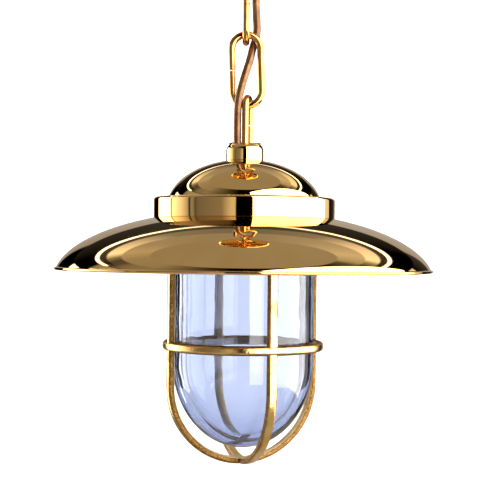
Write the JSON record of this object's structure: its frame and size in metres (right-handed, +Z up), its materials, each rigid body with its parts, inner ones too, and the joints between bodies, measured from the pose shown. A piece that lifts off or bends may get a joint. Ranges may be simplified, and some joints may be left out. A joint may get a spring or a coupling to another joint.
{
  "type": "hanging lantern",
  "caption": "Hanging ship's lantern: brass shade and domed body over a glass jar in a cage guard, on chain links with a supply cable.",
  "frame": {"origin": "centre of the ceiling plate's upper face, where the lantern is fixed", "axes": "+Z up along the chain and the lamp's axis, -Y towards the viewer, +X to the viewer's right"},
  "size_m": [0.2512, 0.2512, 0.3638],
  "materials": {
    "polished_brass": "mirror polished",
    "cast_brass": "sand cast, outer faces polished",
    "contact_brass": "rolled",
    "steel": "plain",
    "clear_glass": "clear, moulded",
    "porcelain": "glazed white",
    "rubber": "matte",
    "cable_sheath": "satin",
    "core_brown": "satin",
    "core_blue": "satin",
    "core_green": "satin"
  },
  "bodies": {
    "ceiling_fitting": {"ceiling_plate": "polished_brass", "ceiling_eye": "polished_brass", "eye_nut": "steel", "cable_bush": "rubber"},
    "upper_link": {"chain_link_upper": "polished_brass", "supply_cable_top": "cable_sheath"},
    "middle_link": {"chain_link_middle": "polished_brass", "supply_cable_upper": "cable_sheath"},
    "lower_link": {"chain_link_lower": "polished_brass", "supply_cable_lower": "cable_sheath"},
    "lamp": {"suspension_boss": "polished_brass", "boss_pin": "steel", "boss_seal_ring": "rubber", "spigot_washer": "steel", "spigot_nut": "steel", "dome_cap": "polished_brass", "collar_ring": "polished_brass", "shade": "polished_brass", "shade_gasket": "rubber", "body_ring": "polished_brass", "body_screws": "steel", "glass_gasket": "rubber", "bridge_bar": "steel", "earth_screw": "steel", "lampholder_body": "porcelain", "lampholder_sleeve": "contact_brass", "centre_contact": "contact_brass", "terminal_screws": "contact_brass", "lampholder_pillars": "steel", "lampholder_screws": "steel", "supply_cable_entry": "cable_sheath", "core_live": "core_brown", "core_neutral": "core_blue", "core_earth": "core_green"},
    "guard": {"cage_guard": "cast_brass", "glass_jar": "clear_glass"},
    "guard_ring": {"guard_retaining_ring": "polished_brass"}
  },
  "joints": [
    {"name": "upper_link_swing", "type": "hinge", "parent": "ceiling_fitting", "child": "upper_link", "pos_m": [0, 0, -0.0404], "axis": [1, 0, 0], "range_deg": [-30, 30], "deforming": ["supply_cable_top"]},
    {"name": "middle_link_swing", "type": "hinge", "parent": "upper_link", "child": "middle_link", "pos_m": [0, 0, -0.08245], "axis": [0, 1, 0], "range_deg": [-30, 30], "deforming": ["supply_cable_upper"]},
    {"name": "lower_link_swing", "type": "hinge", "parent": "middle_link", "child": "lower_link", "pos_m": [0.00162, 0, -0.12457], "axis": [0.9993, 0, 0.0384], "range_deg": [-30, 30], "deforming": ["supply_cable_lower"]},
    {"name": "lamp_swing", "type": "hinge", "parent": "lower_link", "child": "lamp", "pos_m": [0.00162, 0, -0.15552], "axis": [0.2588, 0.9659, 0], "range_deg": [-10, 10], "deforming": ["supply_cable_entry"]},
    {"name": "guard_draw", "type": "slide", "parent": "lamp", "child": "guard", "axis": [0, 0, -1], "range_m": [0, 0.0061]},
    {"name": "ring_turn", "type": "hinge", "parent": "guard", "child": "guard_ring", "pos_m": [0, 0, -0.217], "axis": [0, 0, -1], "range_deg": [0, 1080]}
  ],
  "couplings": [
    {"joint": "guard_draw", "follows": "ring_turn", "m_per_rad": 0.00031831}
  ]
}
